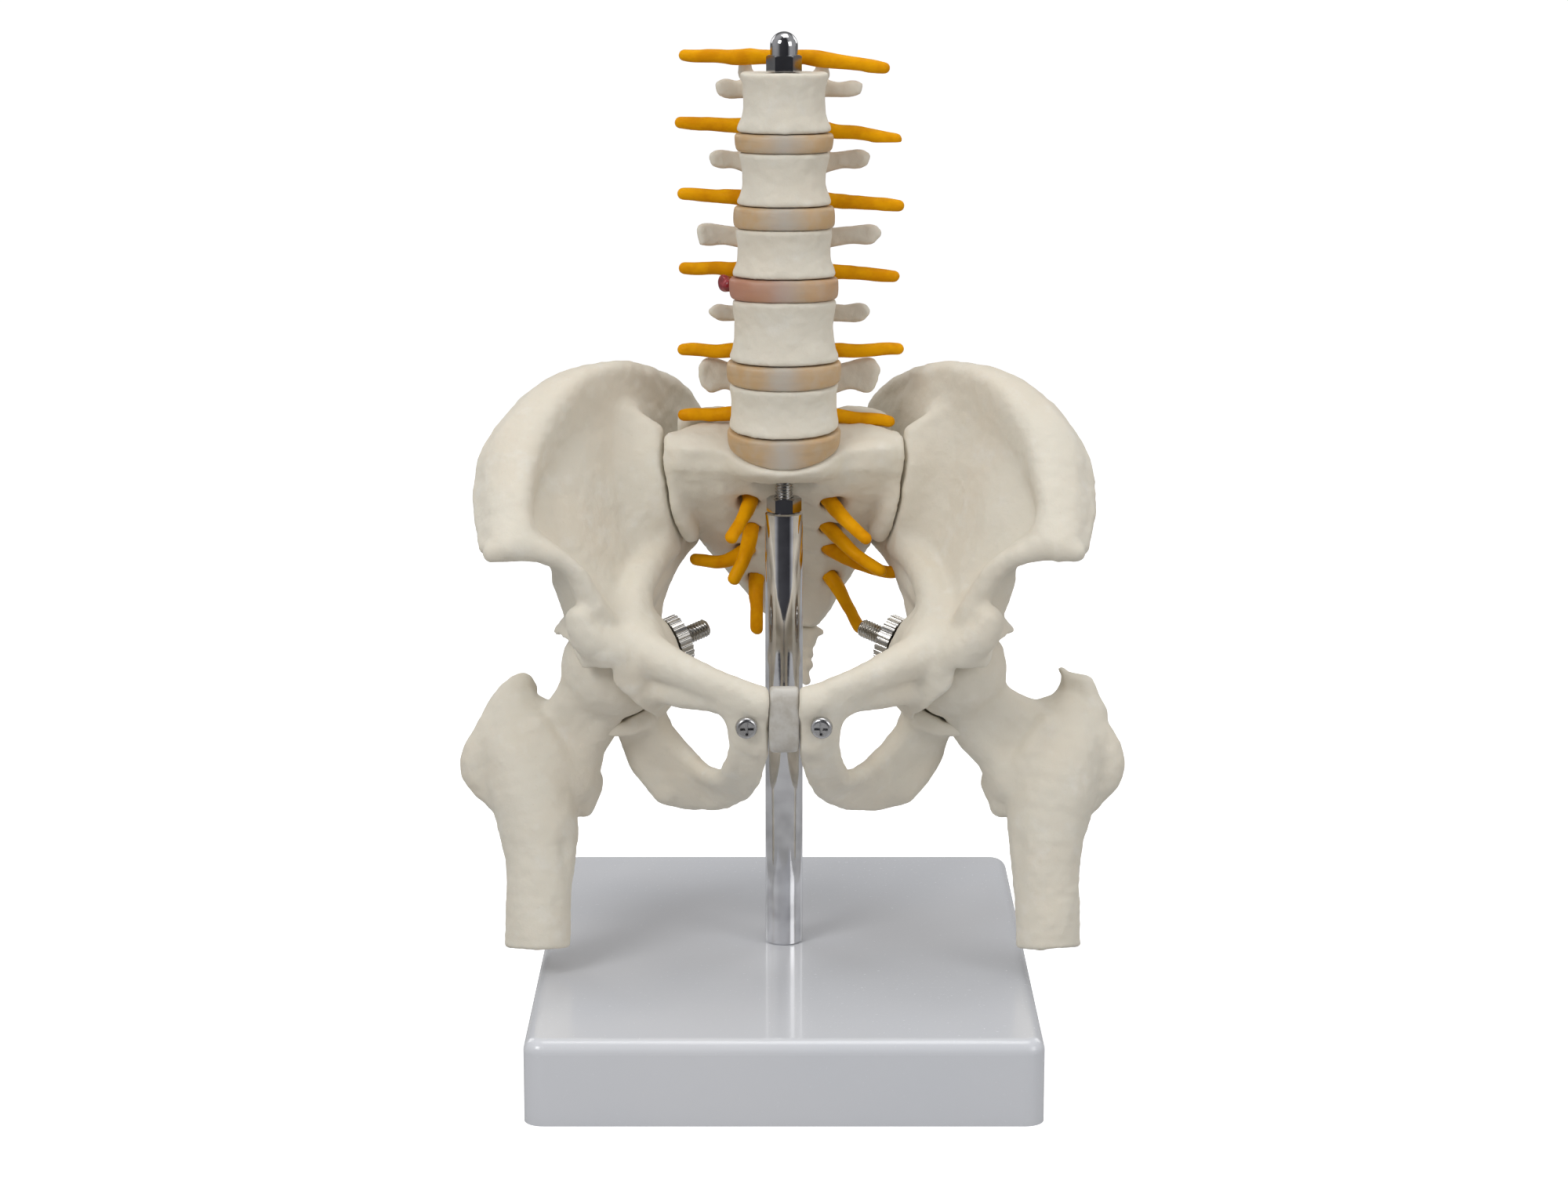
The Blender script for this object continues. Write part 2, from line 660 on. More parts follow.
# ---------------------------------------------------------------- spine
def levels():
    """Each vertebra's table row with the height of its bottom, from L5 up."""
    level = CAP_NUT_SEAT - sum(row[1] + row[2] for row in VERTEBRAE)
    rows = []
    for row in VERTEBRAE:
        rows.append((level + row[2], row))
        level += row[1] + row[2]
    return rows


def outline(x, y, width, depth, front=2.05):
    """How far outside a vertebral body's kidney-shaped outline each point is. A low front is pointed."""
    squash = np.where(y > 0, 0.86, 1.0)
    a = np.abs(x) / (width / 2)
    b = np.abs(y) / (depth / 2 * squash)
    power = np.where(y > 0, 2.4, front)
    ring = (a**power + b**power) ** (1 / power)
    away = (ring - 1) * np.minimum(width, depth) / 2
    return away + 1.2 * np.exp(-((x / 3.8) ** 2)) * (y > 0) * np.clip(b, 0, 1)


def body_field(x, y, z, bottom, height, tilts, widths, depth):
    """The waisted body of a vertebra, with flared lips."""
    low_tilt, high_tilt = (math.tan(math.radians(t)) for t in tilts)
    share = np.clip((z - bottom - y * (low_tilt + high_tilt) / 2) / height, 0, 1)
    floor = bottom + y * low_tilt
    roof = bottom + height + y * high_tilt
    low, waist, high = widths
    lip_low = np.clip(1 - share / 0.46, 0, 1) ** 1.7
    lip_high = np.clip((share - 0.56) / 0.44, 0, 1) ** 1.7
    width = waist + (low - waist) * lip_low + (high - waist) * lip_high
    deep = depth - 2.6 * (1 - np.maximum(lip_low, lip_high))
    sides = outline(x, y, width, deep)
    ends = np.maximum(floor - z, z - roof)
    return soft_most(sides, ends, 1.3)


def vertebra_clay(bottom, row, grain):
    name, height, _, tilt_low, tilt_high, low, waist, high, depth, reach, wing, wing_half, hang = row
    top = bottom + height
    rise = CORD_Y * math.tan(math.radians(tilt_high))
    pedicle = top - 4.3 + rise * 0.6
    arch = bottom + 0.42 * height + rise
    clay = Clay((-reach - 5, -15, bottom - hang - 6), (reach + 5, 42, top + 9), grain)
    part, x, y, z = clay.window((-19, -14, bottom - 4), (19, 13, top + 5))
    field = body_field(x, y, z, bottom, height, (tilt_low, tilt_high), (low, waist, high), depth)
    clay.lay(part, field.astype(np.float32), 0)
    thick = 1.0 if name != "L5" else 1.12
    longest = reach
    for s in (-1, 1):
        fat, blunt = PROCESS_SHAPES[name][(s + 1) // 2]
        reach = longest + 1.4 * s
        clay.add(
            [
                [(6.6 * s, depth / 2 - 4, pedicle + 1.2, 2.0), (6.6 * s, depth / 2 - 4, pedicle - 1.4, 1.9)],
                [(7.6 * s, 11.5, pedicle + 1.1, 1.75 * thick), (7.6 * s, 11.5, pedicle - 1.3, 1.7)],
                [(8.3 * s, 15.2, pedicle + 1.2, 1.9 * thick), (8.2 * s, 15.2, pedicle - 1.6, 1.8)],
            ],
            1.6,
        )
        clay.add(
            [
                [(8.2 * s, 16.2, pedicle + 1.2, 1.6), (8.0 * s, 16.6, arch - 2.0, 1.5)],
                [(5.0 * s, 19.2, arch + 3.2, 1.35), (5.4 * s, 19.3, arch - 3.2, 1.5)],
                [(0.6 * s, 21.0, arch + 2.6, 1.3), (0.6 * s, 21.0, arch - 3.4, 1.4)],
            ],
            1.2,
        )
        clay.add(
            [
                (8.9 * s, 15.8, pedicle - 0.5, 1.9),
                (9.8 * s, 16.3, pedicle + 2.6, 1.85),
                (10.2 * s, 16.6, top + 0.6 + rise * 0.4, 1.75),
                (10.3 * s, 16.6, top + 1.9 + rise * 0.4, 1.3),
            ],
            1.2,
        )
        clay.add(
            [(10.9 * s, 17.6, top - 1.6 + rise * 0.4, 1.3), (11.2 * s, 18.3, top - 2.6 + rise * 0.4, 0.9)],
            1.0,
        )
        clay.add(
            [
                (7.2 * s, 17.9, arch + 1.5, 1.7),
                (6.2 * s, 18.9, arch - 2.0, 1.65),
                (5.5 * s, 19.5, bottom - hang * 0.5, 1.6),
                (5.4 * s, 19.6, bottom - hang - 0.1, 1.35),
            ],
            1.2,
        )
        half = wing_half * 0.62 * fat
        tip = bottom + wing
        clay.add(
            [
                [
                    (7.9 * s, 15.2, pedicle + 0.2 + half * 0.4, 1.5),
                    (7.9 * s, 15.4, pedicle - 1.4 - half * 0.4, 1.5),
                ],
                [
                    (reach * 0.66 * s, 14.5, tip - 0.2 + half * 0.7, 1.15),
                    (reach * 0.66 * s, 14.6, tip - 0.6 - half * 0.7, 1.2),
                ],
                [
                    ((reach - 3.0) * s, 13.4, tip + half * 1.05, 1.1),
                    ((reach - 3.6) * s, 13.6, tip - half * 1.1, 1.2),
                ],
                [
                    ((reach - 1.2) * s, 12.7, tip + half * 0.9 * blunt, 1.1),
                    ((reach - 1.6) * s, 12.9, tip - half * blunt, 1.1),
                ],
            ],
            1.4,
        )
    clay.add(
        [
            [(0, 20.8, arch + 2.2, 1.2), (0, 20.8, arch - 1.0, 1.25), (0, 20.6, arch - 4.0, 1.35)],
            [(0, 26.0, arch + 1.7, 1.1), (0, 26.0, arch - 2.0, 1.05), (0, 26.0, arch - 5.2, 1.3)],
            [(0, 31.5, arch + 0.6, 1.2), (0, 31.5, arch - 3.2, 1.2), (0, 31.6, arch - 6.6, 1.5)],
            [(0, 35.2, arch - 0.8, 1.7), (0, 35.7, arch - 3.8, 1.8), (0, 35.0, arch - 7.0, 1.9)],
        ],
        1.5,
    )
    dimple = bottom + height * 0.55
    clay.dig([(-1.6, -depth / 2 + 0.5, dimple, 0.5), (-1.6, -depth / 2 - 2, dimple, 0.6)])
    if name == "L1":
        clay.dig(
            [
                [(-6, -3, top + 7.3, 7.4), (-6, 3, top + 7.3, 7.4)],
                [(6, -3, top + 7.3, 7.4), (6, 3, top + 7.3, 7.4)],
            ],
            1.6,
        )
    return clay


def disc_field(x, y, z, low, thickness, tilts, widths, depths, bulge, front):
    low_tilt, high_tilt = (math.tan(math.radians(t)) for t in tilts)
    floor = low + y * low_tilt
    roof = low + thickness + y * high_tilt
    share = np.clip((z - floor) / np.maximum(roof - floor, 0.5), 0, 1)
    barrel = np.maximum(np.sin(math.pi * share), 0) ** 0.7
    width = widths[0] + (widths[1] - widths[0]) * share + 2 * bulge * barrel
    depth = depths[0] + (depths[1] - depths[0]) * share + 2 * bulge * barrel
    sides = outline(x, y, width, depth, 2.05 + (front - 2.05) * (1 - share))
    return soft_most(sides, np.maximum(floor - z, z - roof), 0.9)


def nerve_clay(name, root, low, high, sizes):
    right_x, right_z, left_x, left_z = NERVE_TIPS[name]
    r = sizes.nerve_radius / MM
    clay = Clay((right_x - 4, 4, low - 1), (left_x + 4, 19, high + 1), 0.4)
    for x, z in ((right_x, right_z), (left_x, left_z)):
        s = math.copysign(1, x)
        sway = 0.35 * math.sin(3.1 * z + root)
        clay.add(
            [
                (0.8 * s, CORD_Y - 0.4, root, r),
                (5.0 * s, 11.4, root + 0.1, r * 1.02),
                (9.0 * s, 10.9, root + z * 0.16 + sway, r * 1.16),
                (13.5 * s, 11.0, root + z * 0.32 - sway * 0.6, r * 1.05),
                (x * 0.64, 11.4, root + z * 0.56 + sway * 0.5, r * 0.97),
                (x * 0.84, 11.8, root + z * 0.82 - sway * 0.5, r * 0.93),
                (x - 1.6 * s, 12.0, root + z, r * 0.84),
            ],
            1.2,
        )
    middle = (low + high) / 2
    ends = (low + 3.0, high - 3.0) if high - low > 6.4 else (middle - 0.4, middle + 0.4)
    clay.add([(0, CORD_Y, level, CORD_RADIUS) for level in ends], 1.6)
    part, x, y, z = clay.window((-3.6, 4, low - 1), (3.6, 19, high + 1))
    post = np.sqrt(x**2 + (y - CORD_Y) ** 2) - CORD_RADIUS
    post = soft_most(post, np.maximum(low - z, z - high), 0.5)
    clay.lay(part, post.astype(np.float32), 1.0)
    return clay


# ---------------------------------------------------------------- sacrum and coccyx
# height, front and back on the midline, half width, depth of the side
SACRUM = [
    (22.0, 6.0, 18.0, 24.0, 4.0),
    (19.8, 3.0, 20.5, 30.0, 6.0),
    (17.0, -0.5, 23.5, 33.5, 8.0),
    (11.0, 0.5, 29.0, 36.0, 13.0),
    (4.0, 5.5, 35.0, 36.0, 14.5),
    (-4.0, 13.5, 41.0, 33.5, 14.0),
    (-12.0, 21.0, 45.0, 28.0, 12.0),
    (-20.0, 27.0, 46.5, 20.0, 9.0),
    (-28.0, 31.5, 45.5, 14.5, 7.0),
    (-35.0, 33.5, 43.0, 9.8, 5.0),
    (-38.6, 34.2, 41.2, 6.4, 3.6),
]
# height, distance from the midline and depth of the holes in the back
BACK_HOLES = [(6.5, 9.0, 33.0), (-3.5, 8.4, 38.5), (-12.5, 7.4, 43.0), (-20.5, 6.2, 45.0)]


def sacral_lean(points):
    """The cast sacrum hangs a little to the left below its first foramina."""
    leaned = points.copy()
    leaned[:, 0] += 5.4 * np.clip((-4.0 - points[:, 2]) / 46.0, 0, 1) ** 1.3
    return leaned


def sacroiliac_distance(x, y, z):
    """How far outwards of the sacroiliac joint each point is, on either side."""
    middle, slope_y, slope_z = SACROILIAC
    return (np.abs(x) - (middle - slope_y * y + slope_z * (z - 10.0))) / math.hypot(1, slope_y, slope_z)


def sacrum_clay(grain):
    clay = Clay((-39, -16, -42), (39, 54, 28), grain)
    part, x, y, z = clay.everywhere()
    rows = np.array(SACRUM[::-1])
    front, back, half, corner = (np.interp(z, rows[:, 0], column) for column in rows.T[1:])
    share = np.abs(x) / half
    near = front + corner * np.interp(share, (0, 0.25, 0.45, 0.82, 1.0), (0, -0.02, -0.1, 0.1, 0.75))
    rolled = np.interp(share, (0, 0.2, 0.42, 0.62, 0.8, 1.0), (0, 0.05, 0.14, 0.3, 0.52, 1.0))
    far = back + (front + corner * 1.15 - back) * rolled
    field = np.maximum(near - y, y - far) * 0.8
    field = soft_most(field, (np.abs(x) - half) * 0.8, 3.0)
    field = soft_most(field, np.maximum(rows[0, 0] - z, z - 22.0), 1.0)
    clay.lay(part, field.astype(np.float32), 0)
    # the first sacral body with its promontory
    part, x, y, z = clay.window((-20, -15, 0), (20, 14, 27))
    ahead = np.interp(z, (2.0, 4.5, 6.5, 8.5, 10.2, 11.6), (8.0, 4.5, 0.5, -5.0, -9.2, -11.0))
    wide = np.interp(z, (2.0, 6.0, 10.0, 12.5), (24.0, 26.5, 29.6, 31.0))
    body = soft_most(outline(x, y - (ahead + 11) / 2, wide, 11 - ahead, 1.7), 3.0 - z, 1.0)
    clay.lay(part, body.astype(np.float32), 2.0)
    tilt = math.radians(26)
    up = (0, -math.sin(tilt), math.cos(tilt))
    clay.slice_off((0, 0, 17.3), up, 0.8, lambda x, y, z: 9.9 - y)
    clay.slice_off((0, 0, 15.6), (0, 0, 1), 0.6, lambda x, y, z: np.minimum(8.9 - np.abs(x), y - 9.6))
    # fused joints across the front, and the hollow bodies between them
    for height, width in ((1.0, 12.5), (-6.6, 10.5), (-14.6, 9.0), (-22.6, 7.4)):
        front = float(np.interp(height, rows[:, 0], rows[:, 1]))
        line = [
            (-width, front + 1.4, height + 0.3, 0.9),
            (0, front + 0.3, height, 1.0),
            (width, front + 1.4, height + 0.3, 0.9),
        ]
        clay.add(line, 1.2)
    for height, width in ((5.6, 8.0), (-2.6, 8.0), (-10.6, 7.0), (-18.6, 5.5), (-27.0, 4.0)):
        front = float(np.interp(height, rows[:, 0], rows[:, 1]))
        clay.dig(
            [(-width * 0.6, front - 3.7, height - 0.3, 3.8), (width * 0.6, front - 3.7, height - 0.3, 3.8)],
            1.6,
        )
    for s in (-1, 1):
        # upper joint processes, and the ala's rounded shoulder
        clay.add([(10.8 * s, 17.0, 12.0, 2.6), (10.9 * s, 17.2, 17.5, 2.0), (10.8 * s, 17.0, 21.6, 1.7)], 1.6)
        clay.add([(20 * s, 6.0, 14.2, 3.2), (27.0 * s, 5.6, 14.4, 3.6), (31.0 * s, 7.5, 12.0, 3.6)], 4.0)
        clay.add(
            [
                (32.0 * s, 8.0, 17.0, 2.8),
                (31.6 * s, 6.8, 10.0, 3.2),
                (29.8 * s, 7.8, 1.0, 3.4),
                (25.4 * s, 13.0, -8.0, 2.8),
            ],
            3.6,
        )
        clay.add(
            [
                (12.0 * s, 17.6, 22.0, 2.0),
                (18.0 * s, 18.6, 23.2, 2.2),
                (25.0 * s, 18.8, 21.8, 2.4),
                (31.0 * s, 17.6, 17.6, 3.0),
            ],
            2.4,
        )
        for number, routes in enumerate(SACRAL_ROOTS.values()):
            (x0, y0, z0), (x1, y1, z1), (x2, y2, z2) = routes[(s + 1) // 2][:3]
            r = 3.0 - 0.25 * number
            mouth = (x1 * 0.5 + x2 * 0.5 + 1.5 * s, y1 * 0.5 + y2 * 0.5 - 1.5, z1 * 0.5 + z2 * 0.5)
            clay.dig([(x0, y0 + 2, z0, r), (x1 + 0.6 * s, y1, z1, r), (*mouth, r + 0.9)], 1.2)
        for height, out, deep in BACK_HOLES:
            clay.dig([(out * s, deep - 5, height, 1.3), (out * s, deep + 3, height, 1.6)], 0.8)
            clay.add(
                [
                    ((out + 4.6) * s, deep - 2.2, height + 2.5, 1.5),
                    ((out + 3.8) * s, deep - 1.6, height - 1.5, 1.3),
                ],
                1.6,
            )
            clay.add(
                [
                    ((out - 4.0) * s, deep + 0.2, height + 2.0, 1.0),
                    ((out - 3.8) * s, deep + 0.8, height - 1.0, 0.9),
                ],
                1.2,
            )
        clay.add([(3.6 * s, 42.6, -31.5, 1.2), (3.8 * s, 42.4, -37.0, 1.1)], 1.0)
    for height, back in ((7.0, 34.5), (-2.6, 40.6), (-11.6, 45.0), (-19.6, 46.6)):
        clay.add(
            [
                (0, back - 1.0, height + 2.4, 1.7),
                (0, back + 1.6, height - 0.2, 1.9),
                (0, back - 0.4, height - 3.4, 1.5),
            ],
            1.4,
        )
    clay.dig([(0, 13.0, 26, 4.2), (0, 13.4, 14, 4.0), (0, 18.0, 6, 3.4), (0, 24.0, -2, 3.0)], 0.8)
    clay.dig([(0, 47.5, -28.0, 2.3), (0, 44.5, -37.0, 2.6)], 1.0)
    beyond = sacroiliac_distance(*clay.everywhere()[1:]) + 0.3
    clay.depth = soft_most(clay.depth, beyond.astype(np.float32), 0.5)
    return clay


def coccyx_clay():
    clay = Clay((-9, 26, -56), (9, 46, -36), 0.4)
    clay.add(
        [
            [(-3.2, 38.0, -40.4, 2.4), (3.2, 38.0, -40.4, 2.4)],
            [(-2.2, 37.4, -43.2, 2.3), (2.2, 37.4, -43.2, 2.3)],
        ],
        1.0,
    )
    clay.add([(-1.2, 36.3, -46.2, 2.3), (1.2, 36.3, -46.2, 2.2)], 0.9)
    clay.add([(-0.6, 34.4, -49.4, 2.1), (0.9, 34.2, -49.2, 1.9)], 0.8)
    clay.add([(0.0, 32.8, -52.0, 1.7), (0.8, 32.0, -53.2, 1.3)], 0.7)
    for s in (-1, 1):
        clay.add([(4.2 * s, 38.4, -40.4, 1.5), (6.0 * s, 37.9, -40.8, 0.9)], 1.0)
    clay.slice_off((0, 0, -38.7), (0, 0, 1), 0.3)
    return clay


# ---------------------------------------------------------------- hip bones
# along the wing from the back to the front: lower edge, crest, half thickness low, middle and
# high, and how far the middle bulges outwards
WING = [
    ((25.5, 38.5, -7.0), (21.0, 46.0, 5.0), 3.0, 3.4, 2.6, 1.6),
    ((27.0, 33.0, -11.0), (23.2, 42.4, 15.0), 4.2, 4.2, 2.8, 1.6),
    ((31.0, 24.0, -14.0), (30.5, 32.0, 27.8), 4.6, 3.8, 2.9, -0.6),
    ((35.4, 11.0, -19.0), (43.8, 14.4, 34.6), 4.8, 3.4, 2.4, -0.8),
    ((40.5, 0.0, -25.0), (58.8, -1.2, 32.2), 5.0, 2.2, 2.4, 1.8),
    ((44.5, -11.0, -28.0), (70.2, -14.0, 20.8), 5.2, 1.9, 2.6, 4.6),
    ((47.5, -20.0, -27.0), (74.2, -24.6, 7.6), 4.6, 2.2, 2.8, 3.6),
]
# the front edge between the two front spines, then the crest's inner lip, top and outer lip
FRONT_EDGE = [
    (47.0, -26.5, -26.5, 4.4),
    (48.4, -29.5, -21.5, 4.0),
    (50.6, -31.5, -15.5, 3.0),
    (54.0, -33.6, -9.0, 2.6),
    (60.5, -36.4, -4.2, 2.7),
    (69.0, -39.4, -2.4, 2.9),
]
CREST_LIPS = [
    [(36.0, 20.6, 32.0, 1.3), (35.8, 23.8, 33.0, 1.5), (35.4, 27.0, 32.0, 1.3)],
    [(44.0, 10.8, 35.6, 1.5), (44.0, 14.2, 36.2, 1.8), (43.4, 17.8, 35.4, 1.5)],
    [(54.8, -4.8, 33.4, 1.8), (58.0, -0.6, 34.8, 2.2), (62.0, 2.8, 32.8, 2.2)],
    [(63.6, -18.0, 22.8, 2.0), (69.8, -15.0, 24.4, 2.5), (74.8, -11.0, 20.4, 2.6)],
    [(66.6, -30.0, 9.8, 2.2), (73.0, -26.6, 11.6, 2.6), (77.8, -21.6, 8.0, 2.6)],
    [(66.4, -38.6, -0.6, 2.4), (71.6, -38.6, -0.8, 2.6), (75.4, -35.6, -2.6, 2.5)],
]


def from_hip_centre(x, y, z):
    """How far each point is from the middle of the hip joint."""
    cx, cy, cz = HIP_CENTRE
    return np.sqrt((x - cx) ** 2 + (y - cy) ** 2 + (z - cz) ** 2)


def round_hip_centre(clay, reach):
    """The part of the clay within reach of the middle of the hip joint."""
    return clay.window(np.array(HIP_CENTRE) - reach, np.array(HIP_CENTRE) + reach)


def wing_rows():
    rows = []
    for i, (low, high, thick_low, thick_middle, thick_high, swell) in enumerate(WING):
        low, high = np.array(low), np.array(high)
        before, after = WING[max(i - 1, 0)], WING[min(i + 1, len(WING) - 1)]
        along = np.add(*map(np.array, after[:2])) - np.add(*map(np.array, before[:2]))
        outward = np.cross(along, high - low)
        outward /= np.linalg.norm(outward)
        row = []
        for share in (0, 0.2, 0.4, 0.6, 0.8, 1.0):
            bulge = swell * math.sin(math.pi * share)
            thick = np.interp(
                share, (0, 0.42, 0.78, 1.0), (thick_low, thick_middle, thick_middle * 1.06, thick_high)
            )
            row.append((*(low + (high - low) * share + outward * bulge), thick))
        rows.append(row)
    rows.append(FRONT_EDGE)
    return rows


def hip_clay(grain):
    clay = Clay((1, -53, -84), (84, 54, 43), grain)
    wing = wing_rows()
    clay.add(wing, 0, 0.9)
    crest = [(*high, thick) for _, high, _, _, thick, _ in WING]
    clay.add(crest, 1.2)
    # the crest's flat top between its lips, filled in down to the wing, and the front spines
    clay.add([[(*wing[i + 2][4][:3], 2.0), *lips] for i, lips in enumerate(CREST_LIPS)], 1.6)
    clay.add([(*lips[0][:3], lips[0][3] * 0.7) for lips in CREST_LIPS], 0.8)
    clay.add([(70.0, -39.6, -2.4, 2.9), (74.2, -39.6, -3.2, 2.4)], 1.4)
    clay.add([(52.6, -34.0, -21.6, 3.6), (50.6, -33.4, -26.4, 4.4), (46.0, -31.0, -31.0, 4.6)], 1.8)
    clay.add(
        [
            (49.0, -33.8, -27.4, 3.2),
            (43.0, -31.6, -31.8, 3.2),
            (38.6, -29.0, -38.0, 2.6),
            (33.6, -24.6, -44.6, 2.4),
        ],
        2.4,
    )
    clay.add([(56.0, -24.0, -14.0, 3.4), (52.6, -21.0, -20.0, 5.4), (49.0, -18.0, -26.0, 7.4)], 4.0)
    # the brim from the sacrum down to the pubis
    clay.add(
        [
            (30.5, 20.0, -9.5, 4.0),
            (34.5, 7.0, -13.0, 4.2),
            (38.5, -6.0, -18.0, 4.6),
            (40.0, -17.0, -25.0, 5.2),
            (38.0, -24.5, -30.8, 6.0),
            (31.5, -30.5, -33.6, 5.2),
            (25.0, -35.0, -35.6, 4.5),
            (17.5, -40.0, -37.8, 4.1),
            (9.5, -43.6, -40.4, 4.3),
            (5.5, -44.8, -41.6, 4.2),
        ],
        2.6,
    )
    clay.add([(22.0, -38.6, -35.0, 2.2), (16.5, -42.0, -36.6, 2.3), (12.4, -44.2, -37.8, 2.2)], 1.6)
    clay.add(
        [
            (34.0, -26.0, -42.0, 3.6),
            (26.0, -33.0, -42.0, 3.3),
            (18.0, -38.6, -42.2, 3.0),
            (11.0, -42.4, -43.6, 3.4),
        ],
        2.0,
    )
    clay.add(
        [
            [(36.0, -23, -31.0, 5.0), (33.0, -18.0, -38.0, 4.4)],
            [(46.0, -28.5, -31.0, 6.0), (43.0, -24.0, -42.0, 6.0)],
        ],
        3.0,
    )
    # the front lip of the joint with the sacrum, flush with its wing
    clay.add(
        [
            [(34.4, 8.6, 19.6, 2.6), (41.5, 10.0, 24.0, 2.2)],
            [(34.2, 6.4, 11.0, 3.2), (41.6, 7.2, 14.0, 2.6)],
            [(32.4, 7.4, 1.0, 3.6), (40.4, 6.2, 1.0, 3.0)],
            [(29.4, 11.6, -9.0, 3.6), (38.0, 7.0, -11.0, 3.2)],
        ],
        4.4,
    )
    # back edge: joint block for the sacrum, greater notch, ischial spine
    clay.add(
        [
            [(28.0, 33.0, 2.0, 4.4), (26.5, 37.0, -3.0, 3.8)],
            [(32.5, 18.0, 10.0, 4.4), (30.0, 24.0, -6.0, 4.2)],
        ],
        3.0,
    )
    clay.add(
        [
            (26.8, 33.0, -11.6, 3.2),
            (31.0, 25.0, -16.0, 3.5),
            (35.6, 14.0, -23.5, 4.2),
            (38.2, 7.0, -32.0, 5.2),
            (38.4, 2.0, -41.0, 6.0),
        ],
        2.6,
    )
    clay.add([(36.0, 4.0, -45.5, 3.4), (32.4, 9.6, -45.6, 2.2), (30.0, 12.6, -45.2, 1.3)], 2.0)
    # socket
    part, x, y, z = round_hip_centre(clay, 24)
    from_centre = from_hip_centre(x, y, z)
    clay.lay(part, (from_centre - 18.3).astype(np.float32), 3.6)
    # the rim round the socket's mouth
    out = -STUD_AXIS
    across = np.cross(out, (0, 0, 1))
    across /= np.linalg.norm(across)
    upward = np.cross(across, out)
    centre = np.array(HIP_CENTRE)
    rim = []
    for turn in np.linspace(-2.2, 3.7, 22):
        bead = centre + out * 1.4 + 16.4 * (across * math.cos(turn) + upward * math.sin(turn))
        if bead[1] < -14 or bead[2] < -44:
            rim.append((*bead, 2.1))
    clay.add([bead for bead in rim if bead[2] > -60], 1.6)
    # ischium and the lower rami
    clay.add(
        [
            [(44.0, -11.0, -46.0, 6.2), (38.5, -1.0, -44.0, 6.2)],
            [(40.0, -7.0, -56.0, 4.8), (36.0, 2.0, -56.0, 4.8)],
            [(37.0, -5.0, -66.0, 4.6), (32.6, 2.0, -65.0, 5.0)],
            [(31.0, -5.5, -73.6, 4.6), (27.6, -1.5, -73.4, 5.0)],
        ],
        3.2,
    )
    clay.add(
        [
            [(38.0, -14.0, -50.0, 4.0), (40.0, -10.0, -52.0, 4.4), (41.0, -6.0, -54.0, 4.4)],
            [(31.5, -11.0, -58.5, 3.4), (34.0, -8.0, -61.0, 4.6), (36.0, -4.0, -63.0, 5.0)],
            [(25.0, -14.5, -64.0, 2.6), (26.5, -9.0, -69.0, 3.8), (29.0, -3.5, -74.0, 5.0)],
            [(19.8, -22.0, -66.0, 2.4), (18.6, -15.5, -70.4, 2.8), (19.4, -9.0, -75.4, 3.6)],
            [(15.2, -31.0, -64.2, 2.4), (12.6, -26.5, -67.2, 2.6), (12.0, -21.0, -71.0, 2.8)],
            [(12.0, -39.6, -56.6, 2.6), (9.6, -37.5, -60.0, 2.6), (8.6, -34.5, -63.4, 2.6)],
            [(10.0, -43.4, -48.0, 3.2), (8.2, -43.0, -51.0, 3.4), (6.8, -41.4, -55.0, 3.0)],
        ],
        2.2,
    )
    clay.add(
        [
            [(6.0, -44.4, -41.0, 3.6), (13.0, -42.4, -42.0, 3.2)],
            [(6.4, -43.6, -52.0, 3.5), (11.0, -41.6, -50.0, 3.0)],
        ],
        2.0,
    )
    # the front wall stops along a line from the lower front spine down to the ischium
    def front_wall(x, y, z):
        wall = np.minimum(20.5 - from_hip_centre(x, y, z), -17.0 - y)
        return np.minimum(wall, np.minimum(-33.4 - z - (x - 44) * 0.3, x - 34.0))

    clay.slice_off((44.2, 0, -35.0), (1.0, 0, -0.16), 0.7, front_wall)
    clay.slice_off((37.2, 0, -46.0), (0.72, 0, -0.69), 0.7, front_wall)
    clay.slice_off((56.6, 0, 0), (1, 0, 0), 0.9, lambda x, y, z: np.minimum(-29.5 - z, y + 17.0))
    # machined rooms for the femur's head, the nut, the stud and the screws
    clay.slice_off(centre + out * 1.5, out, 0.8, lambda x, y, z: 14.6 - from_hip_centre(x, y, z))
    clay.depth[part] = soft_most(clay.depth[part], (SOCKET_RADIUS - from_centre).astype(np.float32), 0.6)
    clay.bore(centre, out, SOCKET_RADIUS, 25, 0.6)
    seat = centre + STUD_AXIS * (SOCKET_RADIUS + SOCKET_WALL * 0.75)
    clay.bore(seat, STUD_AXIS, 7.8, 30, 0.8)
    clay.bore(centre, STUD_AXIS, 2.8, 40, 0.2)
    for (head, direction), radius, length in ((PUBIC_SCREW, 3.3, 6.0), (SACROILIAC_SCREW, 3.6, 14.0)):
        into = np.array(direction) / np.linalg.norm(direction)
        clay.bore(np.array(head) - into * length, into, radius, length, 0.5)
    # flat faces for the pubic block and the sacrum
    clay.slice_off((3.95, 0, 0), (-1, 0, 0), 0.5)
    _, x, y, z = clay.everywhere()
    beyond = np.minimum(np.minimum(y + 4.0, z + 13.5), -sacroiliac_distance(x, y, z) + 0.3)
    clay.depth = soft_most(clay.depth, beyond.astype(np.float32), 0.5)
    return clay


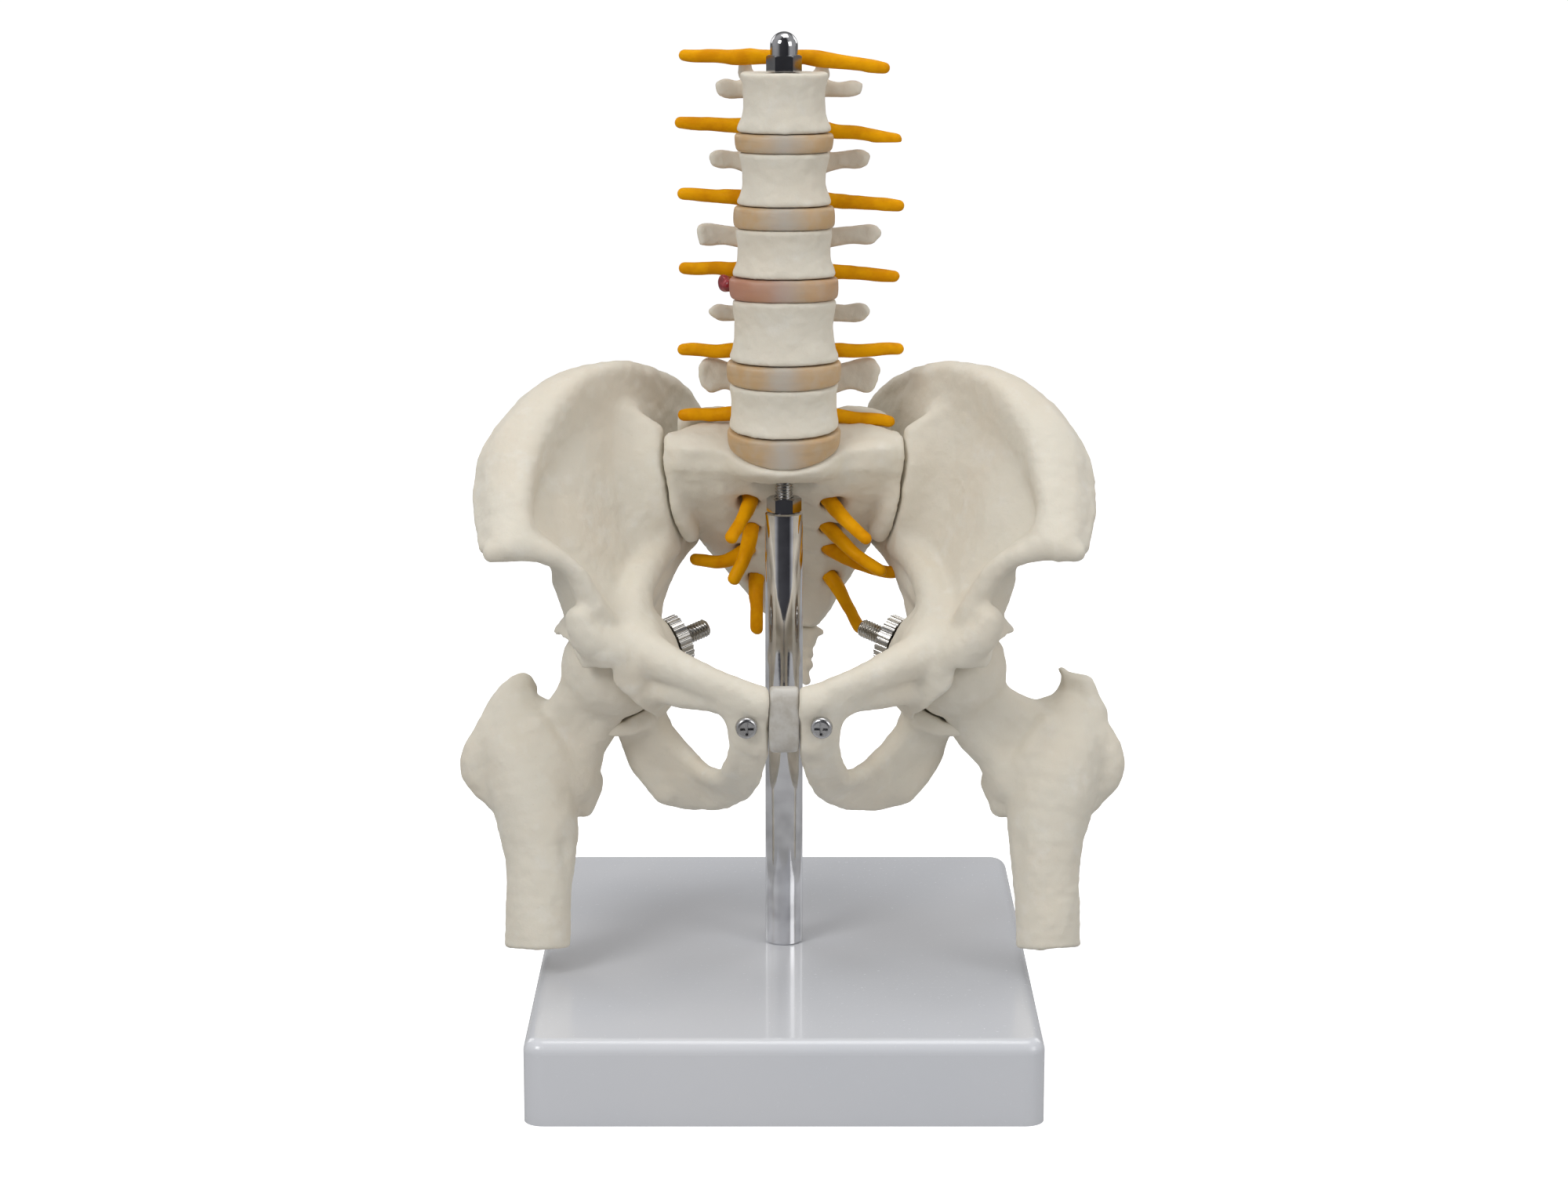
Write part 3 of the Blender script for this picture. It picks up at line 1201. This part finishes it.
# ---------------------------------------------------------------- femurs
def femur_clay(side, grain):
    """A thigh bone stub. The left and right castings differ in lean and at the trochanter's top."""
    lean = 2.3 * side
    clay = Clay((28, -40, -116), (95, 12, -22), grain)
    clay.add(
        [
            [(49.0, -14.0, -41.6, 8.0), (46.4, -13.0, -47.6, 6.8)],
            [(55.0, -12.0, -49.4, 6.4), (50.6, -12.0, -56.4, 5.8)],
            [(62.0 + lean, -9.0, -54.4, 5.8), (54.6 + lean * 0.5, -11.4, -62.6, 5.6)],
            [(68.0 + lean, -7.0, -57.0, 6.8), (57.4 + lean, -11.6, -70.4, 5.8)],
        ],
        2.0,
        1.2,
    )
    clay.add(
        [
            (71.6 + lean, -7.0, -56.0, 8.6),
            (72.0 + lean, -9.6, -62.0, 10.6),
            (69.6 + lean, -13.0, -70.0, 11.8),
            (67.4 + lean, -17.0, -79.0, 10.8),
            (66.6 + lean, -21.0, -89.0, 9.3),
            (67.0 + lean, -24.2, -100.0, 8.6),
            (67.3 + lean, -27.6, -114.0, 8.6),
        ],
        2.4,
    )
    clay.add(
        [
            [(79.4 + lean, -7.6, -57.0, 4.6), (76.4 + lean, -3.0, -54.0, 4.6)],
            [(83.4 + lean, -9.6, -66.6, 5.0), (78.0 + lean, -6.0, -66.0, 6.0)],
            [(78.4 + lean, -12.0, -74.4, 4.0), (76.0 + lean, -10.0, -74.0, 5.0)],
        ],
        2.4,
    )
    if side < 0:
        clay.add(
            [
                (75.4 + lean, -4.0, -54.0, 6.2),
                (73.8 + lean, -2.0, -49.8, 5.0),
                (72.2 + lean, -1.0, -47.6, 3.9),
            ],
            2.2,
        )
        clay.dig([(65.6 + lean, -10.0, -45.4, 2.6), (66.0 + lean, 0.0, -44.8, 2.8)], 1.4)
    else:
        clay.add(
            [
                [(74.2, -2.0, -45.2, 2.5), (79.8, -4.0, -46.0, 2.7)],
                [(76.0, -3.0, -52.0, 4.0), (81.4, -6.0, -53.0, 4.2)],
            ],
            1.8,
        )
        clay.add([(75.6, -1.6, -46.0, 2.2), (74.0, -1.4, -43.6, 1.8), (73.4, -1.4, -42.8, 1.4)], 1.0)
        clay.dig([(70.4, -11.0, -45.6, 3.0), (70.8, -1.0, -45.2, 3.2)], 1.6)
    clay.add([(53.6 + lean, -8.6, -71.6, 3.6), (55.6 + lean, -10.0, -77.4, 3.2)], 2.4)
    clay.add(
        [
            (66.4 + lean, -15.6, -54.6, 2.6),
            (61.6 + lean, -16.6, -62.0, 2.6),
            (58.2 + lean, -15.0, -70.0, 2.8),
        ],
        4.0,
    )
    clay.add(
        [(72.0 + lean, -3.0, -55.0, 3.4), (65.0 + lean, -4.0, -62.0, 3.6), (58.4 + lean, -6.6, -70.0, 3.6)],
        4.0,
    )
    clay.dig([(58.0 + lean, -27.2, -84.0, 2.4), (57.0 + lean, -31.0, -96.0, 2.0)], 2.0)
    clay.slice_off((67.2, -26.6, -111.5), (0.02, -0.2, -1.0), 0.5)
    part, x, y, z = round_hip_centre(clay, 19)
    ball = from_hip_centre(x, y, z) - HEAD_RADIUS
    clay.lay(part, ball.astype(np.float32), 1.6)
    # nothing but the ball inside the socket
    cx, cy, cz = HIP_CENTRE
    out = (x - cx) * -STUD_AXIS[0] + (y - cy) * -STUD_AXIS[1] + (z - cz) * -STUD_AXIS[2]
    keep = np.where(out < 2.5, ball, -FAR)
    clay.depth[part] = np.maximum(clay.depth[part], keep.astype(np.float32))
    return clay


# ---------------------------------------------------------------- settings
def length_setting(name, description, default, low=0.0):
    return bpy.props.FloatProperty(
        name=name, description=description, default=default, unit="LENGTH", min=low
    )


class PelvisSizes(bpy.types.PropertyGroup):
    bone_grain: length_setting("Bone fineness", "Size of the faces on the large bones", 0.0006, 0.0003)
    spine_grain: length_setting("Spine fineness", "Size of the faces on the vertebrae", 0.0005, 0.0003)
    relief: length_setting("Bone relief", "Height of the cast lumps on the bones", 0.00016)
    disc_bulge: length_setting("Disc bulge", "How far the discs swell past the bones", 0.0003)
    nerve_radius: length_setting("Nerve radius", "Radius of the nerve stubs", 0.0019, 0.0005)


def colour_setting(name, description, default):
    return bpy.props.FloatVectorProperty(
        name=name, description=description, default=default, subtype="COLOR", size=3, min=0.0, max=1.0
    )


class PelvisColours(bpy.types.PropertyGroup):
    bone: colour_setting("Bone", "Main colour of the bones", (0.71, 0.665, 0.565))
    bone_warm: colour_setting("Bone, warm", "Warmer patches of the bones", (0.71, 0.65, 0.54))
    bone_pale: colour_setting("Bone, pale", "Rubbed and raised parts of the bones", (0.76, 0.73, 0.655))
    bone_hollow: colour_setting("Bone, hollows", "Stain in the bones' hollows", (0.50, 0.40, 0.28))
    disc: colour_setting("Disc", "Main colour of the discs", (0.52, 0.345, 0.175))
    disc_grey: colour_setting("Disc, grey", "Paler clouds in the discs", (0.51, 0.385, 0.25))
    disc_middle: colour_setting("Disc, middle", "Clear grey middle of the discs", (0.47, 0.45, 0.41))
    disc_dark: colour_setting("Disc, dark", "Darker rings in the discs", (0.38, 0.27, 0.16))
    disc_stain: colour_setting("Disc, stain", "Red-brown stain of the worn disc", (0.42, 0.17, 0.12))
    nerve: colour_setting("Nerve", "Main colour of the nerves", (0.80, 0.36, 0.003))
    nerve_deep: colour_setting("Nerve, deep", "Deeper colour near the roots", (0.66, 0.26, 0.002))
    red: colour_setting("Nucleus", "Colour of the bulging nucleus", (0.36, 0.012, 0.02))
    red_dark: colour_setting("Nucleus, dark", "Darker clouds in the nucleus", (0.18, 0.006, 0.01))
    clear: colour_setting("Clear block", "Colour of the pubic block", (0.56, 0.54, 0.50))
    clear_dark: colour_setting("Clear block, dark", "Darker clouds in the pubic block", (0.46, 0.43, 0.38))
    chrome: colour_setting("Chrome", "Chrome plating", (0.78, 0.78, 0.80))
    chrome_dark: colour_setting("Chrome, dark", "Duller clouds in the chrome", (0.52, 0.52, 0.53))
    nut: colour_setting("Nuts", "Dark bright plating of the nuts", (0.36, 0.36, 0.37))
    steel: colour_setting("Steel", "Zinc plated steel", (0.58, 0.58, 0.59))
    steel_dark: colour_setting("Steel, dark", "Duller clouds in the steel", (0.42, 0.41, 0.40))
    nickel: colour_setting("Nickel", "Nickel plated steel", (0.56, 0.54, 0.50))
    base: colour_setting("Base", "Main colour of the base", (0.66, 0.668, 0.695))
    base_cool: colour_setting("Base, cool", "Cooler patches of the base", (0.635, 0.65, 0.685))
    base_mark: colour_setting("Base, marks", "Dust and handling marks on the base", (0.52, 0.52, 0.53))
    floor: colour_setting("Floor", "Floor and backdrop", (0.90, 0.90, 0.90))


class StandBuilder(bpy.types.Operator):
    """Finishes the base, its cover, the rod and all the metal parts"""

    bl_idname = "pelvis.build_stand"
    bl_label = "Stand and metal parts"

    def execute(self, context):
        slots = {row["node"]: row["material_slot"] for row in frame["record"]["subparts"]}
        for name, node in frame["nodes"].items():
            slot = slots[name]
            if slot.endswith(("_steel", "_plate")) or slot in ("base_plastic", "cover_plastic"):
                node.data.materials.clear()
                node.data.materials.append(
                    finish_for("bright_nut" if name in ("cap_nut", "lock_nut") else slot)
                )
        low, high = (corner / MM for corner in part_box("spine_threaded_rod"))
        rod = threaded("spine_thread", (0, 0, low.z - ROD_TOP), (0, 0, high.z - ROD_TOP), high.x - 0.03)
        settle(rod, "spine_threaded_rod", finish_for("zinc_steel"))
        for side, name in ((1, "left"), (-1, "right")):
            flip = np.array((side, 1, 1))
            ends = [(np.array(HIP_CENTRE) + STUD_AXIS * reach) * flip for reach in (-2.0, 28.6)]
            stud = threaded(f"{name}_stud_thread", *ends, high.x - 0.03)
            settle(stud, f"{name}_hip_stud", finish_for("nickel_steel"))
        return {"FINISHED"}


class VertebraBuilder(bpy.types.Operator):
    """Models the five lumbar vertebrae"""

    bl_idname = "pelvis.build_vertebrae"
    bl_label = "Vertebrae"

    def execute(self, context):
        sizes = context.scene.pelvis_sizes
        for number, (bottom, row) in enumerate(levels()):
            clay = vertebra_clay(bottom, row, sizes.spine_grain / MM)
            relief = sizes.relief / MM
            rough = ((3.6, relief * 1.5), (1.9, relief * 1.1), (0.9, relief * 0.5))
            piece = clay.mesh(f"bone_{row[0]}", 1, rough, 11 + 7 * number, flat_ends=True)
            settle(piece, f"vertebra_{row[0]}", finish_for("bone_plastic"))
        return {"FINISHED"}


class DiscBuilder(bpy.types.Operator):
    """Models the discs and the bulging nucleus of one of them"""

    bl_idname = "pelvis.build_discs"
    bl_label = "Discs"

    def execute(self, context):
        bulge = context.scene.pelvis_sizes.disc_bulge / MM
        below = ("S1", 28.6, 20.4, 26.0)
        for number, (bottom, row) in enumerate(levels()):
            name, _, thickness, tilt_low, tilt_high, low, _, high, depth, *_ = row
            base = bottom - thickness
            gap = 0.16 + 0.016 * tilt_low
            clay = Clay((-20, -16, base - 7), (20, 15, bottom + 5), 0.4)
            part, x, y, z = clay.everywhere()
            front = 1.7 if below[0] == "S1" else 2.05
            tilts, widths, depths = (below[3], tilt_low), (below[1], low), (below[2], depth)
            field = disc_field(x, y, z, base, thickness - gap, tilts, widths, depths, bulge, front)
            clay.lay(part, field.astype(np.float32), 0)
            worn = below[0] == "L4"
            piece = clay.mesh(f"disc_{name}", 1, ((4.0, 0.12), (1.4, 0.05)), 71 + number, flat_ends=True)
            paint(
                piece,
                "middle",
                lambda at: np.exp(-((at[:, 0] / 4.6) ** 2)) * np.interp(at[:, 1], (-8, 0), (1, 0)),
            )
            if worn:
                paint(
                    piece, "stain", lambda at: np.interp(at[:, 0], (-15, -3, 4, 16), (0.85, 0.5, 0.1, 0.25))
                )
                self.nucleus(base, thickness, low)
            key = "stained_disc" if worn else "disc_plastic"
            settle(piece, f"disc_{name}_{below[0]}", finish_for(key))
            below = (name, high, depth - 0.2, tilt_high)
        return {"FINISHED"}

    @staticmethod
    def nucleus(base, thickness, width):
        clay = Clay((-22, -4, base - 3), (-8, 14, base + thickness + 5), 0.3)
        x, z = -width / 2, base + thickness * 0.55
        clay.add([(x - 0.4, 2.6, z, 1.7), (x - 1.2, 5.0, z, 2.1), (x + 0.6, 7.4, z, 1.6)], 1.0)
        clay.add([(x - 1.8, 4.4, z + 1.2, 1.2), (x - 2.0, 4.0, z + 1.7, 0.9)], 1.0)
        piece = clay.mesh("nucleus", 1, ((1.6, 0.14),), 91)
        settle(piece, "herniated_nucleus", finish_for("red_plastic"))


class NerveBuilder(bpy.types.Operator):
    """Models the nerve cord and its stubs"""

    bl_idname = "pelvis.build_nerves"
    bl_label = "Nerves"

    def execute(self, context):
        sizes = context.scene.pelvis_sizes
        finish = finish_for("nerve_plastic")
        rows = levels()
        cut = rows[0][0] - 2.0
        stretches = []
        for i, (bottom, row) in enumerate(rows):
            upper = rows[i + 1][0] - rows[i + 1][1][2] / 2 if i + 1 < len(rows) else CAP_NUT_SEAT - 6.5
            stretches.append((row[0], bottom + (2.0 if row[0] == "L5" else 0.6), cut, upper - 0.3))
            cut = upper
        stretches.append(("T12", CAP_NUT_SEAT + 2.9, cut, CAP_NUT_SEAT + 4.2))
        for number, (name, root, low, high) in enumerate(stretches):
            piece = nerve_clay(name, root, low, high, sizes).mesh(
                f"nerves_{name}", 1, ((2.2, 0.1),), 31 + number
            )
            settle(piece, f"nerve_pair_{name}", finish)
        radii = [1.75 * share for share in (1.2, 1.24, 1.04, 1.0, 0.86)]
        for number, (name, routes) in enumerate(SACRAL_ROOTS.items()):
            clay = Clay((-38, -6, -42), (40, 38, 10), 0.45)
            for route in routes:
                clay.add([(x, y + 0.25 * math.sin(x), z, r) for (x, y, z), r in zip(route, radii)], 0.8)
            piece = clay.mesh(f"sacral_nerves_{name}_cast", 1, ((2.2, 0.14),), 41 + number, bend=sacral_lean)
            settle(piece, f"sacral_nerves_{name}", finish)
        top = rows[0][0] - 2.3
        clay = Clay((-5, 6, top - 30), (5, 32, top + 2), 0.4)
        clay.add(
            [
                (0, CORD_Y, top - 3.0, 3.0),
                (0, CORD_Y + 1.4, top - 7, 2.8),
                (0, CORD_Y + 5.0, top - 12, 2.4),
                (0, CORD_Y + 11, top - 21, 1.8),
            ],
            0.8,
        )
        part, x, y, z = clay.window((-5, 6, top - 6), (5, 20, top + 2))
        post = soft_most(
            np.sqrt(x**2 + (y - CORD_Y) ** 2) - CORD_RADIUS, np.maximum(z - top, top - 4 - z), 0.5
        )
        clay.lay(part, post.astype(np.float32), 0.6)
        piece = clay.mesh("cord_end", 1, ((2.2, 0.1),), 55)
        settle(piece, "cauda_equina", finish)
        return {"FINISHED"}


class SacrumBuilder(bpy.types.Operator):
    """Models the sacrum and the tail bone"""

    bl_idname = "pelvis.build_sacrum"
    bl_label = "Sacrum and coccyx"

    def execute(self, context):
        sizes = context.scene.pelvis_sizes
        relief = sizes.relief / MM
        clay = sacrum_clay(sizes.bone_grain / MM)
        piece = clay.mesh(
            "sacrum_cast",
            1,
            ((4.0, relief * 2.0), (2.0, relief * 1.2), (1.0, relief * 0.6)),
            61,
            bend=sacral_lean,
        )
        settle(piece, "sacrum", finish_for("bone_plastic"))
        piece = coccyx_clay().mesh(
            "coccyx_cast", 1, ((2.4, relief * 1.4), (1.0, relief * 0.6)), 65, bend=sacral_lean
        )
        settle(piece, "coccyx", finish_for("bone_plastic"))
        return {"FINISHED"}


class HipBuilder(bpy.types.Operator):
    """Models the two hip bones and the block between them"""

    bl_idname = "pelvis.build_hips"
    bl_label = "Hip bones"

    def execute(self, context):
        sizes = context.scene.pelvis_sizes
        relief = sizes.relief / MM
        clay = hip_clay(sizes.bone_grain / MM)
        for name, side in (("left", 1), ("right", -1)):
            rough = ((6.0, relief * 2.0), (2.4, relief * 1.3), (1.1, relief * 0.6))
            piece = clay.mesh(f"{name}_hip_cast", 1, rough, 81 + side, side)
            settle(piece, f"{name}_hip_bone", finish_for("bone_plastic"))
        block = Clay((-6, -53, -57), (6, -37, -34), 0.35)
        part, x, y, z = block.everywhere()
        lens = ((np.abs(y + 44.2) / 3.9) ** 2.4 + (np.abs(z + 45.6) / 8.6) ** 2.2) ** (1 / 2.3)
        field = soft_most((lens - 1) * 3.9, np.abs(x) - 3.85, 0.9)
        block.lay(part, field.astype(np.float32), 0)
        piece = block.mesh("pubic_block", 1, ((3.0, 0.12),), 85)
        settle(piece, "pubic_disc", finish_for("clear_plastic"))
        return {"FINISHED"}


class FemurBuilder(bpy.types.Operator):
    """Models the two thigh bone stubs"""

    bl_idname = "pelvis.build_femurs"
    bl_label = "Thigh bones"

    def execute(self, context):
        sizes = context.scene.pelvis_sizes
        relief = sizes.relief / MM
        for name, side in (("left", 1), ("right", -1)):
            clay = femur_clay(side, sizes.bone_grain / MM)
            rough = ((6.0, relief * 2.2), (2.4, relief * 1.4), (1.1, relief * 0.6))
            piece = clay.mesh(f"{name}_femur_cast", 1, rough, 95 + side, side)
            settle(piece, f"{name}_femur", finish_for("bone_plastic"))
        return {"FINISHED"}


class StageBuilder(bpy.types.Operator):
    """Sets up the floor, the backdrop, the lights and the camera"""

    bl_idname = "pelvis.build_stage"
    bl_label = "Stage"

    def execute(self, context):
        self.floor()
        self.world()
        light("key", (-0.75, -0.85, 0.95), 0.5, 6.4, (0, 0, 0.13))
        light("fill", (0.95, -0.7, 0.6), 0.6, 3.0, (0, 0, 0.13))
        light("top", (0.1, 0.05, 1.15), 0.6, 3.0, (0, 0, 0.1))
        light("back_left", (-0.7, 0.75, 0.6), 0.5, 1.5, (0, 0, 0.14))
        light("back_right", (0.7, 0.75, 0.6), 0.5, 1.5, (0, 0, 0.14))
        context.scene.view_settings.view_transform = "Standard"
        camera = bpy.data.cameras.new("camera")
        camera.sensor_width = 36.0
        camera.lens = 82.8
        camera.clip_start = 0.01
        eye = bpy.data.objects.new("camera", camera)
        eye.location = (0, -0.9375, 0.313)
        eye.rotation_euler = (math.radians(90 - 11.73), 0, 0)
        context.scene.collection.objects.link(eye)
        context.scene.camera = eye
        return {"FINISHED"}

    @staticmethod
    def floor():
        """A sweep: flat underfoot, rising in a curve behind."""
        profile = [(-0.36, 0.0), (1.2, 0.0)]
        turns = np.linspace(0.1, math.pi / 2, 14)
        profile += [(1.2 + 0.8 * math.sin(turn), 0.8 - 0.8 * math.cos(turn)) for turn in turns]
        profile.append((2.0, 3.0))
        points = np.array([(x, y, z) for x in (-4.0, 4.0) for y, z in profile])
        n = len(profile)
        faces = np.array([(i, i + 1, n + i + 1, n + i) for i in range(n - 1)])
        sweep = make_piece("floor_sweep", points, faces)
        finish = Finish("floor_paper", Specular_IOR_Level=0.2)
        cloud = finish.noise(400.0, 2.0)
        colour = tuple(bpy.context.scene.pelvis_colours.floor)
        shade = finish.mix(cloud.band(0.3, 0.8), colour, tuple(c * 0.985 for c in colour))
        # lit from beneath as far as the eye sees it, and plain grey to everything that stands on it
        seen = finish.node("ShaderNodeLightPath", {}, {}, "Is Camera Ray")
        shade = finish.mix(seen, (0.42, 0.42, 0.42), shade)
        glow = finish.mix(seen, (0.0, 0.0, 0.0), (1.0, 1.0, 1.0))
        finish.shader.inputs["Emission Strength"].default_value = 0.55
        finish.feed(Base_Color=shade, Roughness=0.75 + cloud * 0.1, Emission_Color=glow)
        sweep.data.materials.append(finish.material)

    @staticmethod
    def world():
        world = bpy.data.worlds.new("studio")
        world.use_nodes = True
        bpy.context.scene.world = world
        board = Board(world.node_tree)
        background = board.tree.nodes["Background"]
        background.inputs["Strength"].default_value = 0.66
        direction = board.node("ShaderNodeTexCoord", {}, {}, "Generated")
        around = board.node(
            "ShaderNodeTexGradient", {"gradient_type": "RADIAL"}, {"Vector": direction}, "Fac"
        )
        # a full turn of light walls and a dark gap, seen in the plated parts
        walls = [
            (0.0, (0.9, 0.9, 0.92)),
            (0.1, (0.62, 0.62, 0.64)),
            (0.16, (0.1, 0.1, 0.11)),
            (0.34, (0.06, 0.06, 0.07)),
            (0.4, (0.8, 0.8, 0.82)),
            (0.55, (0.75, 0.76, 0.78)),
            (0.75, (1.0, 1.0, 1.0)),
            (1.0, (0.9, 0.9, 0.92)),
        ]
        colour = board.node("ShaderNodeValToRGB", {"stops": walls}, {0: around})
        # evenly pale to the eye and to plain surfaces
        for ray, plain in (("Is Diffuse Ray", (0.78, 0.78, 0.79)), ("Is Camera Ray", (1.5, 1.5, 1.5))):
            colour = board.mix(board.node("ShaderNodeLightPath", {}, {}, ray), colour, plain)
        board.tree.links.new(colour.socket, background.inputs["Color"])


def light(name, place, size, power, target):
    """A square lamp of some width and power that faces its target."""
    lamp = bpy.data.lights.new(name, "AREA")
    lamp.shape = "SQUARE"
    lamp.size = size
    lamp.energy = power
    holder = bpy.data.objects.new(name, lamp)
    holder.location = place
    holder.rotation_euler = (Vector(target) - Vector(place)).to_track_quat("-Z", "Y").to_euler()
    bpy.context.scene.collection.objects.link(holder)


OPERATORS = (
    StandBuilder,
    VertebraBuilder,
    DiscBuilder,
    NerveBuilder,
    SacrumBuilder,
    HipBuilder,
    FemurBuilder,
    StageBuilder,
)


class PelvisPanel(bpy.types.Panel):
    """Lists the builders and their settings"""

    bl_idname = "VIEW3D_PT_pelvis_model"
    bl_label = "Pelvis Model"
    bl_space_type = "VIEW_3D"
    bl_region_type = "UI"
    bl_category = "Pelvis Model"

    def draw(self, context):
        for group in (context.scene.pelvis_sizes, context.scene.pelvis_colours):
            box = self.layout.box()
            for name in group.bl_rna.properties.keys():
                if name not in ("rna_type", "name"):
                    box.prop(group, name)
        for operator in OPERATORS:
            self.layout.operator(operator.bl_idname)


CLASSES = (PelvisSizes, PelvisColours, *OPERATORS, PelvisPanel)


def register():
    for cls in CLASSES:
        bpy.utils.register_class(cls)
    bpy.types.Scene.pelvis_sizes = bpy.props.PointerProperty(type=PelvisSizes)
    bpy.types.Scene.pelvis_colours = bpy.props.PointerProperty(type=PelvisColours)


def unregister():
    del bpy.types.Scene.pelvis_colours
    del bpy.types.Scene.pelvis_sizes
    for cls in reversed(CLASSES):
        bpy.utils.unregister_class(cls)


def main():
    register()
    for operator in OPERATORS:
        group, action = operator.bl_idname.split(".")
        getattr(getattr(bpy.ops, group), action)()


if __name__ == "__main__":
    main()
